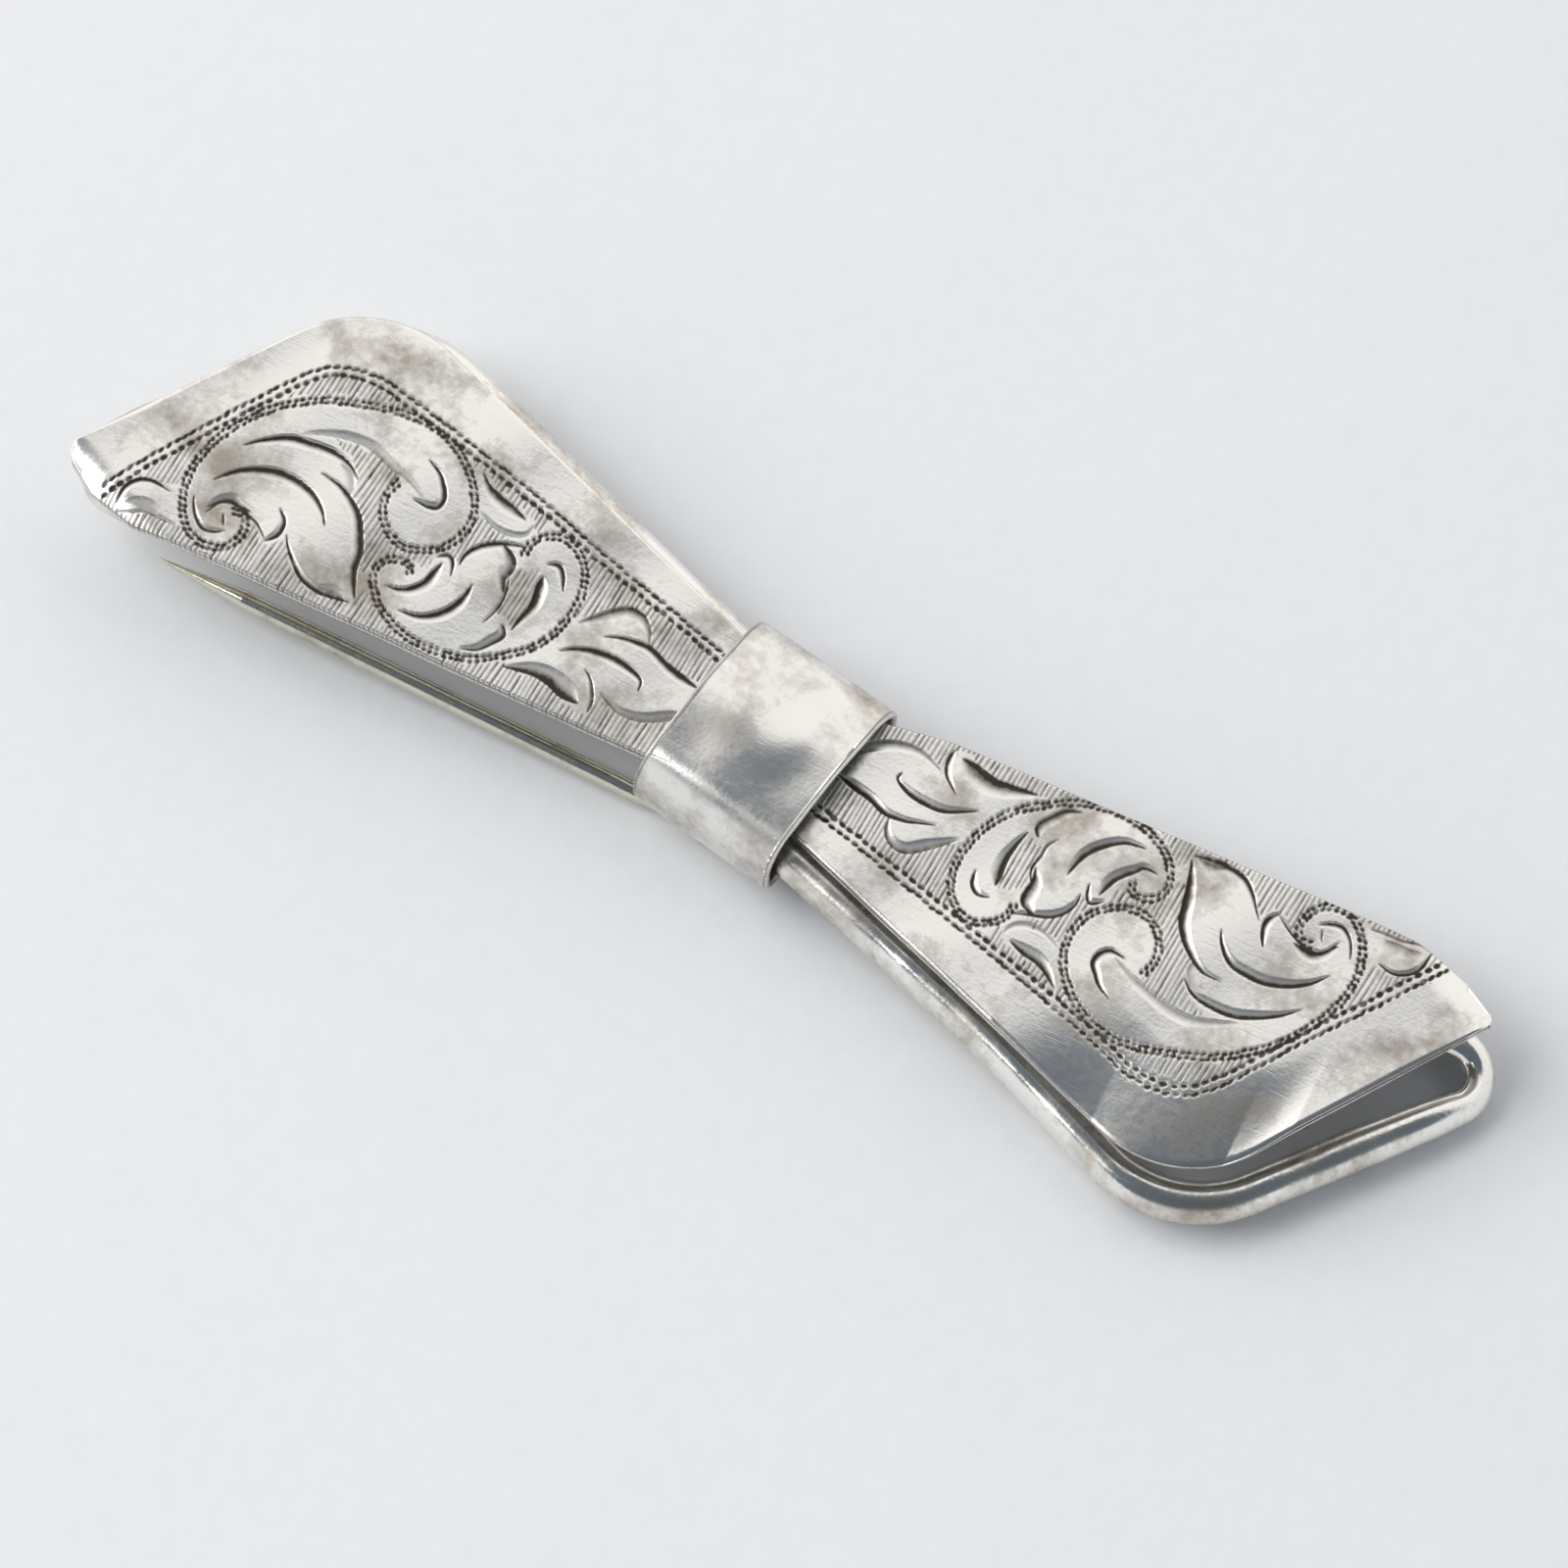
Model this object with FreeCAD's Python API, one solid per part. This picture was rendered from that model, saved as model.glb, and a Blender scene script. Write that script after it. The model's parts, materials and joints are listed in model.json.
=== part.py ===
import FreeCAD, Part
import math
import os

from FreeCAD import Vector as V

os.makedirs("parts", exist_ok=True)

# Bow-shaped cravat clip, all sizes in millimetres.
# X runs along the long axis, Y across it, +Z is up out of the engraved face.
# The origin is under the middle of the wire frame, level with the lowest point.

# --- pin and its joint, under the knot ---------------------------------------
PIN_D = 0.9
PIVOT = (-1.75, -3.10)
NECK_END = (-7.0, -3.33)      # the cranked neck ends here
NECK_STRAIGHT = 1.2   # length that stays square to the rivet
NECK_SETTLES = 0.6    # share of the neck after which it runs on with the stem
PIN_TIP = (-30.48, -2.80)
POINT_L = 4.4         # length of the tapered point
POINT_END_D = 0.12
JOINT_WALL = 0.10     # how much thicker than the pin its knuckle and the ears are
RIVET_D = 0.5
RIVET_CLEAR = 0.03    # radial running clearance in the knuckle
SIDE_CLEAR = 0.05     # between the knuckle and each ear, and over the knuckle
EAR_T = 0.45
BLOCK_L = 1.0
HEAD_D = 0.8
HEAD_T = 0.15

# --- knot band ---------------------------------------------------------------
BAND_T = 0.35         # sheet thickness
BAND_L = 7.7          # length along the band's own axis
BAND_START = -4.7     # where it starts along that axis
BAND_TURN = -11.0     # degrees from X to the band's axis
BAND_SLACK = 0.50     # room beside the wires, which spread towards the mouths
BAND_AIR = 0.44       # room beside the open leaf's edge at the right mouth
BAND_ROOM = 1.0       # from the leaves up to the band's shoulders
BAND_DOME = 0.65      # rise of the crown over the shoulders
BAND_CROWN_R = 14.0
BAND_CORNER_R = 0.9
BAND_SHOULDER_R = 1.2
FIT = 0.02            # gap at soldered or resting contacts

# --- wire frame --------------------------------------------------------------
WIRE_D = 2.0          # diameter of the frame wire
WAIST_Y = 3.15        # half distance between the two wires at the middle
MOUTH_X = 2.75        # where the outer wire leaves the knot
MOUTH_SPREAD = 0.78   # how far out of line it is there
HUMP = (25.32, -12.28)        # corner of the wide end, before rounding
TIP = (36.99, 1.70)           # pointed corner, before rounding
INNER_BEND = (3.00, 2.08)     # where the straight wire turns into the knot
HUMP_R = 5.6
TIP_R = 1.7
BEND_R = 6.0
BOW_R = 60.0
RIGHT_BOW = 0.50      # the right half's long run is bent inwards this much
LEFT_BOW = 0.05       # and the left half's this much

# --- spring leaves -----------------------------------------------------------
LEAF_T = 0.5          # sheet thickness
LEAF_CLEAR = 0.08     # air between the wire and a leaf's root
LEAF_GAP = 0.10       # gap between the two roots
LEAF_SHIFT = (-0.75, 0.50)    # the face sits a little off the frame's middle
LEFT_RISE = 0.7       # degrees the left leaf rises towards its end
RIGHT_RISE = 2.6      # degrees the right leaf stands up, sprung open
LEAF_ROOT_Y = 3.20    # straight edge at the root
LEAF_SHOULDER = (30.85, 3.75)  # where the straight edge ends
LEAF_CLIP = (33.35, 3.05)      # middle of the clipped end
LEAF_TIP = (35.45, 1.70)       # pointed corner
LEAF_HUMP = (25.9, -12.2)     # corner of the wide end, before rounding
LEAF_WAIST = (2.0, -3.5)      # where the slanted edge meets the waist
LEAF_HUMP_R = 5.8
LIP_W = 1.1           # width of the lip that is bent down along the clipped end
LIP_R = 3.0           # inside bend radius of that lip

# --- gripping studs ----------------------------------------------------------
STUD_RIGHT = (29.5, -5.9)
STUD_LEFT = (27.2, -5.0)
STUD_D = 1.2
STUD_END_D = 0.6
STUD_L = 1.2

# --- derived sizes -----------------------------------------------------------
pin_r = PIN_D / 2
joint_r = (PIN_D + JOINT_WALL) / 2
pin_z = joint_r
fork_gap = PIN_D + 2 * SIDE_CLEAR
band_bottom = 2 * joint_r + SIDE_CLEAR
wire_r = WIRE_D / 2
wire_z = band_bottom + BAND_T + FIT + wire_r
leaf_z = wire_z + wire_r + LEAF_CLEAR
leaf_axis_z = leaf_z + LEAF_T / 2
turn = math.radians(-BAND_TURN)
leaf_edge = (LEAF_ROOT_Y + LEAF_SHIFT[1]) * math.cos(turn) + (BAND_START + BAND_L) * math.sin(turn)
band_half_w = BAND_T + max(WAIST_Y + wire_r + BAND_SLACK, leaf_edge + BAND_AIR)
shoulder_z = leaf_z + LEAF_T + BAND_ROOM
crown_z = shoulder_z + BAND_DOME


def export(shape, name):
    shape.exportStep(os.path.join("parts", name + ".step"))


def rounded(points, closed):
    """Wire through (point, radius) pairs: straight runs with rounded corners."""
    pts = [V(*p) for p, radius in points]
    rads = [radius for p, radius in points]
    n = len(pts)
    entry = []
    leave = []
    mids = []
    for i in range(n):
        end = not closed and i in (0, n - 1)
        if end or rads[i] <= 0:
            entry.append(pts[i])
            leave.append(pts[i])
            mids.append(None)
            continue
        a = (pts[i - 1] - pts[i]).normalize()
        b = (pts[(i + 1) % n] - pts[i]).normalize()
        half = a.getAngle(b) / 2
        run = rads[i] / math.tan(half)
        inward = (a + b).normalize()
        centre = pts[i] + inward * (rads[i] / math.sin(half))
        entry.append(pts[i] + a * run)
        leave.append(pts[i] + b * run)
        mids.append(centre - inward * rads[i])
    edges = []
    last = n if closed else n - 1
    for i in range(n):
        if mids[i] is not None:
            edges.append(Part.Arc(entry[i], mids[i], leave[i]).toShape())
        if i < last:
            nxt = entry[(i + 1) % n]
            if (nxt - leave[i]).Length > 1e-6:
                edges.append(Part.makeLine(leave[i], nxt))
    return Part.Wire(edges)


# --- wire frame: two half loops, the second turned by 180 degrees ------------
def half_frame(bow):
    """The wire from the waist round one wide end and back, its long run bowed inwards."""
    mouth = V(MOUTH_X, -WAIST_Y - MOUTH_SPREAD, wire_z)
    hump = V(HUMP[0], HUMP[1], wire_z)
    run = (hump - mouth).normalize()
    bowed = (mouth + hump) * 0.5 + V(-run.y, run.x, 0) * bow
    path = rounded(
        [
            ((0, -WAIST_Y, wire_z), 0),
            (mouth, BEND_R),
            (bowed, BOW_R),
            (hump, HUMP_R),
            ((TIP[0], TIP[1], wire_z), TIP_R),
            ((INNER_BEND[0], INNER_BEND[1], wire_z), BEND_R),
            ((0, WAIST_Y, wire_z), 0),
        ],
        False,
    )
    start = V(0, -WAIST_Y, wire_z)
    section = Part.Wire(Part.makeCircle(wire_r, start, mouth - start))
    return path.makePipeShell([section], True, False)


left_half = half_frame(LEFT_BOW)
left_half.rotate(V(0, 0, 0), V(0, 0, 1), 180)
frame = half_frame(RIGHT_BOW).fuse(left_half).removeSplitter()
export(frame, "wire_frame")

# --- knot band: one strip closed round the waist -----------------------------
def band_outline(inset):
    half = band_half_w - inset
    low = band_bottom + inset
    corner = BAND_CORNER_R - inset
    shoulder = BAND_SHOULDER_R - inset
    wire = rounded(
        [
            ((-half, low), corner),
            ((half, low), corner),
            ((half, shoulder_z - inset * 1.1), shoulder),
            ((0, crown_z - inset), BAND_CROWN_R),
            ((-half, shoulder_z - inset * 1.1), shoulder),
        ],
        True,
    )
    return Part.Face(wire)


band_face = band_outline(0).cut(band_outline(BAND_T)).Faces[0]
band = band_face.extrude(V(0, 0, BAND_L))
# The outline is drawn in plan, then stood up so that it looks along +X.
band.rotate(V(0, 0, 0), V(1, 0, 0), 90)
band.rotate(V(0, 0, 0), V(0, 0, 1), 90)
band.translate(V(BAND_START, 0, 0))
band.rotate(V(0, 0, 0), V(0, 0, 1), BAND_TURN)
export(band, "knot_band")

# --- spring leaves: the outline cut from a sheet with one bent lip -----------
def leaf_blank(root_x):
    """The flat outline of a leaf from its root under the knot, as a tall block."""
    outline = rounded(
        [
            ((root_x, LEAF_ROOT_Y), 0),
            (LEAF_SHOULDER, 2.5),
            (LEAF_CLIP, 1.2),
            (LEAF_TIP, 0.5),
            (LEAF_HUMP, LEAF_HUMP_R),
            (LEAF_WAIST, 3.0),
            ((root_x, LEAF_WAIST[1]), 0),
        ],
        True,
    )
    block = Part.Face(outline).extrude(V(0, 0, 6))
    block.translate(V(0, 0, -3))
    return block


def bent_sheet():
    """A sheet that is flat up to the lip line and curves down beyond it."""
    turn = math.atan2(LEAF_TIP[1] - LEAF_SHOULDER[1], LEAF_TIP[0] - LEAF_SHOULDER[0])
    low = LIP_R
    high = LIP_R + LEAF_T
    axis_z = -LIP_R
    swing = math.radians(70)
    mid = swing / 2

    def at(radius, angle):
        return V(0, -LIP_W + radius * math.sin(angle), axis_z + radius * math.cos(angle))

    edges = [
        Part.makeLine(V(0, -80, 0), at(low, 0)),
        Part.Arc(at(low, 0), at(low, mid), at(low, swing)).toShape(),
        Part.makeLine(at(low, swing), at(high, swing)),
        Part.Arc(at(high, swing), at(high, mid), at(high, 0)).toShape(),
        Part.makeLine(at(high, 0), V(0, -80, LEAF_T)),
        Part.makeLine(V(0, -80, LEAF_T), V(0, -80, 0)),
    ]
    face = Part.Face(Part.Wire(edges))
    sheet = face.extrude(V(120, 0, 0))
    sheet.translate(V(-60, 0, 0))
    sheet.rotate(V(0, 0, 0), V(0, 0, 1), math.degrees(turn))
    sheet.translate(V(LEAF_TIP[0], LEAF_TIP[1], 0))
    return sheet


# The face is shifted off the middle, so the two roots are cut to different lengths.
sheet = bent_sheet()
leaf_r = leaf_blank(LEAF_GAP / 2 - LEAF_SHIFT[0]).common(sheet)
leaf_l = leaf_blank(LEAF_GAP / 2 + LEAF_SHIFT[0]).common(sheet)


def grip_stud(at):
    return Part.makeCone(STUD_D / 2, STUD_END_D / 2, STUD_L, V(at[0], at[1], -FIT), V(0, 0, -1))


def place_right(shape):
    """Puts a leaf or its stud on the right of the knot, sprung open."""
    out = shape.copy()
    out.translate(V(LEAF_SHIFT[0], LEAF_SHIFT[1], leaf_z))
    out.rotate(V(0, 0, leaf_axis_z), V(0, 1, 0), -RIGHT_RISE)
    return out


def place_left(shape):
    """Puts the same piece, turned half round, on the left of the knot."""
    out = shape.copy()
    out.rotate(V(0, 0, 0), V(0, 0, 1), 180)
    out.translate(V(LEAF_SHIFT[0], LEAF_SHIFT[1], leaf_z))
    out.rotate(V(0, 0, leaf_axis_z), V(0, 1, 0), LEFT_RISE)
    return out


export(place_right(leaf_r), "face_leaf_right")
export(place_left(leaf_l), "face_leaf_left")
export(place_right(grip_stud(STUD_RIGHT)), "grip_stud_right")
export(place_left(grip_stud(STUD_LEFT)), "grip_stud_left")

# --- pin joint: a forked block under the band, its rivet, and the pin --------
px, py = PIVOT
block_w = fork_gap + 2 * EAR_T
block_high = band_bottom - FIT
block_x = px + joint_r + SIDE_CLEAR
block = Part.makeBox(BLOCK_L, block_w, block_high, V(block_x, py - block_w / 2, 0))
ears = Part.makeBox(block_x - px, block_w, block_high, V(px, py - block_w / 2, 0))
ears = ears.fuse(
    Part.makeCylinder(joint_r, block_w, V(px, py - block_w / 2, pin_z), V(0, 1, 0))
)
ears = ears.fuse(
    Part.makeBox(joint_r, block_w, block_high - pin_z, V(px - joint_r, py - block_w / 2, pin_z))
)
slot = Part.makeBox(4 * joint_r, fork_gap, 2 * block_high, V(block_x - 4 * joint_r, py - fork_gap / 2, -0.5))
joint = block.fuse(ears.cut(slot)).removeSplitter()
rivet_hole = Part.makeCylinder(RIVET_D / 2, block_w + 2, V(px, py - block_w / 2 - 1, pin_z), V(0, 1, 0))
joint = joint.cut(rivet_hole)
export(joint, "pin_joint")

rivet = Part.makeCylinder(RIVET_D / 2, block_w, V(px, py - block_w / 2, pin_z), V(0, 1, 0))
for side in (-1, 1):
    foot = V(px, py + side * block_w / 2, pin_z)
    rivet = rivet.fuse(Part.makeCylinder(HEAD_D / 2, HEAD_T, foot, V(0, side, 0)))
export(rivet.removeSplitter(), "joint_rivet")

neck_start = V(px - joint_r / 2, py, pin_z)
neck_end = V(NECK_END[0], NECK_END[1], pin_z)
tip = V(PIN_TIP[0], PIN_TIP[1], pin_z)
stem_dir = (tip - neck_end).normalize()
point_start = tip - stem_dir * POINT_L
neck = Part.BSplineCurve()
neck.interpolate(
    Points=[
        neck_start,
        V(px - NECK_STRAIGHT, py, pin_z),
        V(px + (NECK_END[0] - px) * NECK_SETTLES, NECK_END[1], pin_z),
        neck_end,
    ],
    InitialTangent=V(-1, 0, 0),
    FinalTangent=stem_dir,
)
neck_section = Part.Wire(Part.makeCircle(pin_r, neck_start, V(-1, 0, 0)))
pin = Part.Wire(neck.toShape()).makePipeShell([neck_section], True, False)
stem_l = (point_start - neck_end).Length
pin = pin.fuse(Part.makeCylinder(pin_r, stem_l, neck_end, stem_dir))
pin = pin.fuse(Part.makeCone(pin_r, POINT_END_D / 2, POINT_L, point_start, stem_dir))
pin = pin.fuse(
    Part.makeCylinder(joint_r, PIN_D, V(px, py - PIN_D / 2, pin_z), V(0, 1, 0))
)
bore_r = RIVET_D / 2 + RIVET_CLEAR
pin = pin.cut(Part.makeCylinder(bore_r, 4, V(px, py - 2, pin_z), V(0, 1, 0)))
export(pin.removeSplitter(), "pin_stem")
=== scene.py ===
# %% [markdown]
# # A bow-shaped cravat clip in old engraved silver
#
# Two thin engraved leaves lie over a loop of thick wire. A wrapped band holds them in the middle
# like the knot of a bow tie, and a long pin is hinged behind the knot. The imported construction
# model gives the sizes and the moving bodies. This lesson adds what a silversmith's hand and a
# century of wear left on the metal.

# %% Load the construction model
import json
import math
import bpy
import numpy as np
from mathutils import Matrix, Vector


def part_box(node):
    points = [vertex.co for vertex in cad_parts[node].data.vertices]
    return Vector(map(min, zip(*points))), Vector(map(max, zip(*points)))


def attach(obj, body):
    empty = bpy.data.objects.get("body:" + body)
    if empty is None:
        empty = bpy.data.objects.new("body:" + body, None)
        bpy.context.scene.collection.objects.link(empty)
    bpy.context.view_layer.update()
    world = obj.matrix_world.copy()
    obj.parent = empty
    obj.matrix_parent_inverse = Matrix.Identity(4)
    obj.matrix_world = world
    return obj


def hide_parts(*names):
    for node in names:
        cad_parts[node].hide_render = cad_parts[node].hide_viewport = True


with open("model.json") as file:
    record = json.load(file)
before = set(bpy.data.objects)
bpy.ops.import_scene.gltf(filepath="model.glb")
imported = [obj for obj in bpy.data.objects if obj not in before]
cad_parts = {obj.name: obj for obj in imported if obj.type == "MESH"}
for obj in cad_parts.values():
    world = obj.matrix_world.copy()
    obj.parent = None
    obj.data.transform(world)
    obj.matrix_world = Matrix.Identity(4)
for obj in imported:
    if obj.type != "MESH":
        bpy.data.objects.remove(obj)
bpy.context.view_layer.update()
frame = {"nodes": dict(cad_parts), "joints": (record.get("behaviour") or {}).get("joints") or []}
MM = 0.001

# %% [markdown]
# ## The camera
#
# The clip lies on its back on pale paper. It leans: the pin joint under the knot and the wire of
# the open wing touch the paper, so the paper is turned by a small angle in the clip's own frame.
# The camera looks down steeply from the front right. A long lens keeps the two wings almost the
# same size.

# %% The leaning paper and the camera above it
LEAN = math.radians(2.2)
CAMERA_AZ = math.radians(26.0)
CAMERA_EL = math.radians(66.0)
CAMERA_DISTANCE = 420.0
TARGET = Vector((-0.4, 0.4, 4.0))
PAPER_TOUCH_X = -0.2

lean = Matrix.Rotation(-LEAN, 3, "Y")
toward = Vector((
    math.sin(CAMERA_AZ) * math.cos(CAMERA_EL),
    -math.cos(CAMERA_AZ) * math.cos(CAMERA_EL),
    math.sin(CAMERA_EL),
))
right = Vector((math.cos(CAMERA_AZ), math.sin(CAMERA_AZ), 0.0))
view_n = lean @ toward
view_r = lean @ right
view_u = view_n.cross(view_r)
paper_up = lean @ Vector((0, 0, 1))
back_h = lean @ Vector((-math.sin(CAMERA_AZ), math.cos(CAMERA_AZ), 0.0))

camera_data = bpy.data.cameras.new("view_camera")
camera_data.lens = 211.7
camera_data.sensor_width = 36.0
camera_data.shift_x = 0.0044
camera_data.shift_y = -0.0263
camera_data.clip_start = 0.01
camera = bpy.data.objects.new("view_camera", camera_data)
bpy.context.scene.collection.objects.link(camera)
turn = Matrix((view_r, view_u, view_n)).transposed().to_4x4()
camera.matrix_world = Matrix.Translation((TARGET + view_n * CAMERA_DISTANCE) * MM) @ turn
bpy.context.scene.camera = camera
print("camera stands at", [round(c, 3) for c in camera.location])

# %% [markdown]
# ## Small helpers for outlines
#
# A silversmith lays out a shape with straight lines and rounds its corners. The same is done
# here: an outline is a few corners with a radius each, and the helper returns the smooth line
# through them.

# %% Rounded outlines and smooth strokes
def rounded(corners, closed=True, step=0.1):
    """Points about `step` apart along straight runs whose corners are arcs."""
    pts = [np.array(p, float) for p, r in corners]
    n = len(pts)
    out = []
    for i, (p, r) in enumerate(corners):
        here = pts[i]
        if r <= 0 or (not closed and i in (0, n - 1)):
            out.append([here])
            continue
        a = pts[i - 1] - here
        b = pts[(i + 1) % n] - here
        a /= np.linalg.norm(a)
        b /= np.linalg.norm(b)
        half = math.acos(np.clip(a @ b, -1, 1)) / 2
        centre = here + (a + b) / np.linalg.norm(a + b) * r / math.sin(half)
        first = here + a * r / math.tan(half) - centre
        last = here + b * r / math.tan(half) - centre
        sweep = math.pi - 2 * half
        count = max(3, int(sweep * r / step) + 1)
        arc = []
        for t in np.linspace(0, 1, count):
            w = (math.sin((1 - t) * sweep) * first + math.sin(t * sweep) * last) / math.sin(sweep)
            arc.append(centre + w)
        out.append(arc)
    line = [p for part in out for p in part]
    if closed:
        line.append(line[0])
    return resample(np.array(line), step)


def resample(line, step):
    """The same line with evenly spaced points."""
    gaps = np.linalg.norm(np.diff(line, axis=0), axis=1)
    keep = np.concatenate([[True], gaps > 1e-9])
    line = line[keep]
    run = np.concatenate([[0], np.cumsum(np.linalg.norm(np.diff(line, axis=0), axis=1))])
    count = max(2, int(round(run[-1] / step)) + 1)
    s = np.linspace(0, run[-1], count)
    return np.stack([np.interp(s, run, line[:, k]) for k in range(line.shape[1])], 1)


def flowing(points, step):
    """A smooth line through given points, as a graver would run through them."""
    p = np.array(points, float)
    p = np.vstack([2 * p[0] - p[1], p, 2 * p[-1] - p[-2]])
    out = []
    t = np.linspace(0, 1, 24, endpoint=False)[:, None]
    for i in range(1, len(p) - 2):
        a, b, c, d = p[i - 1], p[i], p[i + 1], p[i + 2]
        out.append(0.5 * (2 * b + (c - a) * t + (2 * a - 5 * b + 4 * c - d) * t**2
                          + (3 * b - a - 3 * c + d) * t**3))
    out.append(p[-2][None])
    return resample(np.vstack(out), step)


def directions(line, closed=False):
    """Unit direction of a line at each of its points."""
    if closed:
        ahead = np.roll(line, -1, axis=0) - np.roll(line, 1, axis=0)
    else:
        ahead = np.gradient(line, axis=0)
    return ahead / np.linalg.norm(ahead, axis=1)[:, None]


def beside(line, distance):
    """The same line moved sideways, to the left of its direction when positive."""
    ahead = directions(line)
    return line + np.stack([-ahead[:, 1], ahead[:, 0]], 1) * distance


square = rounded([((0, 0), 1), ((4, 0), 1), ((4, 4), 1), ((0, 4), 1)])
print("a test square with round corners has", len(square), "points")

# %% [markdown]
# ## The engraver's plate
#
# The ornament is cut, not printed, so it has to be real relief. The plate is a fine height map in
# millimetres in the leaf's own plane. Three tools work on it. A tilted graver makes crescents
# with one steep wall. A punch makes the rows of dots. A fine liner makes the parallel background
# lines. A second map keeps the black in each cut: partly the tarnish that old polish left there,
# partly painted shade on the steep walls and over the rims.

# %% The blank plate
PLATE_X = (2.4, 36.0)
PLATE_Y = (-12.6, 4.2)
PITCH = 0.025
plate_x = np.arange(PLATE_X[0], PLATE_X[1], PITCH)
plate_y = np.arange(PLATE_Y[0], PLATE_Y[1], PITCH)
GX, GY = np.meshgrid(plate_x, plate_y)
print("plate cells:", GX.size)


def window(x0, y0, x1, y1):
    """Slices of the plate that cover a box."""
    ix = slice(max(0, int((x0 - PLATE_X[0]) / PITCH)), max(0, int((x1 - PLATE_X[0]) / PITCH) + 2))
    iy = slice(max(0, int((y0 - PLATE_Y[0]) / PITCH)), max(0, int((y1 - PLATE_Y[0]) / PITCH) + 2))
    return iy, ix


# %% [markdown]
# A graver stroke is found for every plate cell near its line: how far along the line the cell
# lies, and how far to the side. The stroke swells to its greatest width and dies away again. Its
# section has one steep wall, where the black is darkest as tarnish and painted shade together, and
# one long slope back to the surface.

# %% The graver
STROKE_STEP = 0.06
NARROWEST = 0.03
STEEP_PART = 0.16
DARK_LEAST, DARK_REACH = 0.30, 0.52


def cut(plate, points, width, depth, wall, peak, dark):
    """One graver stroke, its steep wall left of the line (`wall` is 1) or right of it (-1)."""
    path = flowing(points, STROKE_STEP)
    low = path.min(axis=0) - width
    high = path.max(axis=0) + width
    box = window(low[0], low[1], high[0], high[1])
    x, y = GX[box], GY[box]
    best = np.full(x.shape, 1e9)
    across = np.zeros(x.shape)
    along = np.zeros(x.shape)
    tangent = directions(path)
    count = len(path)
    for i in range(count):
        dx = x - path[i, 0]
        dy = y - path[i, 1]
        d = dx * dx + dy * dy
        near = d < best
        best[near] = d[near]
        side = tangent[i, 0] * dy - tangent[i, 1] * dx
        across[near] = side[near]
        along[near] = i / (count - 1)
    t = np.clip(along, 0.001, 0.999)
    swell = np.where(t < peak, t / peak, (1 - t) / (1 - peak))
    local = width * np.sin(swell * math.pi / 2) ** 0.8 + NARROWEST
    v = 0.5 - across * wall / local
    inside = (v > 0) & (v < 1) & (best < (local * 0.75) ** 2)
    steep = np.clip(v / STEEP_PART, 0, 1)
    shape = steep * np.clip(1 - v, 0, 1) ** 0.8
    deep = depth * np.clip(local / width, 0, 1) ** 0.7 * shape * inside
    relief, patina_and_shade = plate
    relief[box] = np.minimum(relief[box], -deep)
    # The black is strongest at the steep wall: tarnish there, and painted shade on the wall the light
    # misses.
    cut_darkening = DARK_LEAST + 1.0 * np.exp(-(v / DARK_REACH) ** 2)
    tone = np.clip(inside * dark * cut_darkening, 0, 1)
    edge = np.clip(np.minimum(v / 0.04, (1 - v) / 0.5), 0, 1)
    patina_and_shade[box] = np.maximum(patina_and_shade[box], tone * edge)


print("a stroke's steep wall takes", STEEP_PART, "of its width")

# %% [markdown]
# The rows of dots come from a small oval punch, struck one blow at a time. No two blows are quite
# alike, so each dot has its own place, turn, size and tone within small limits.

# %% The punch
DOT_STEP = 0.02
DOT_DARK_REACH = 1.35
DOT_BLACK = 3.0
HAND_TURN = 0.10
HAND_SLIP = 0.018


def punch(plate, at, direction, length, breadth, depth, dark):
    """One punched dot, long in the direction of its row."""
    r = max(length, breadth)
    box = window(at[0] - r, at[1] - r, at[0] + r, at[1] + r)
    dx, dy = GX[box] - at[0], GY[box] - at[1]
    a = (dx * direction[0] + dy * direction[1]) / (length / 2)
    b = (dy * direction[0] - dx * direction[1]) / (breadth / 2)
    q = np.clip(1 - (a * a + b * b), 0, 1)
    # The dot's black reaches past the pit over its rim: tarnish in the pit, painted shade on the rim.
    cut_darkening = np.clip(1 - (a * a + b * b) / DOT_DARK_REACH, 0, 1)
    relief, patina_and_shade = plate
    relief[box] = np.minimum(relief[box], -depth * q**0.8)
    patina_and_shade[box] = np.maximum(patina_and_shade[box], dark * np.clip(cut_darkening * DOT_BLACK, 0, 1))


def dot_row(plate, line, pitch, length, breadth, depth, rng, slant=0.0, start=0.0):
    """Punched dots along a line, with the small unevenness of a hand."""
    path = resample(line, DOT_STEP)
    tangent = directions(path)
    s = start
    while s / DOT_STEP < len(path) - 1:
        i = int(s / DOT_STEP)
        angle = slant + rng.normal(0, HAND_TURN)
        c, k = math.cos(angle), math.sin(angle)
        t = tangent[i]
        direction = (t[0] * c - t[1] * k, t[0] * k + t[1] * c)
        at = path[i] + rng.normal(0, HAND_SLIP, 2)
        long = length * rng.uniform(0.85, 1.15)
        wide = breadth * rng.uniform(0.85, 1.15)
        punch(plate, at, direction, long, wide, depth, rng.uniform(0.82, 1.0))
        s += pitch * rng.uniform(0.9, 1.1)


print("a dot may slip by about", HAND_SLIP, "mm")

# %% [markdown]
# The liner works inside a field between the leaves, so the plate has to know which cells lie in
# it. A cell is inside when a line drawn from it to the right crosses the field's outline an odd
# number of times.

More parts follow.
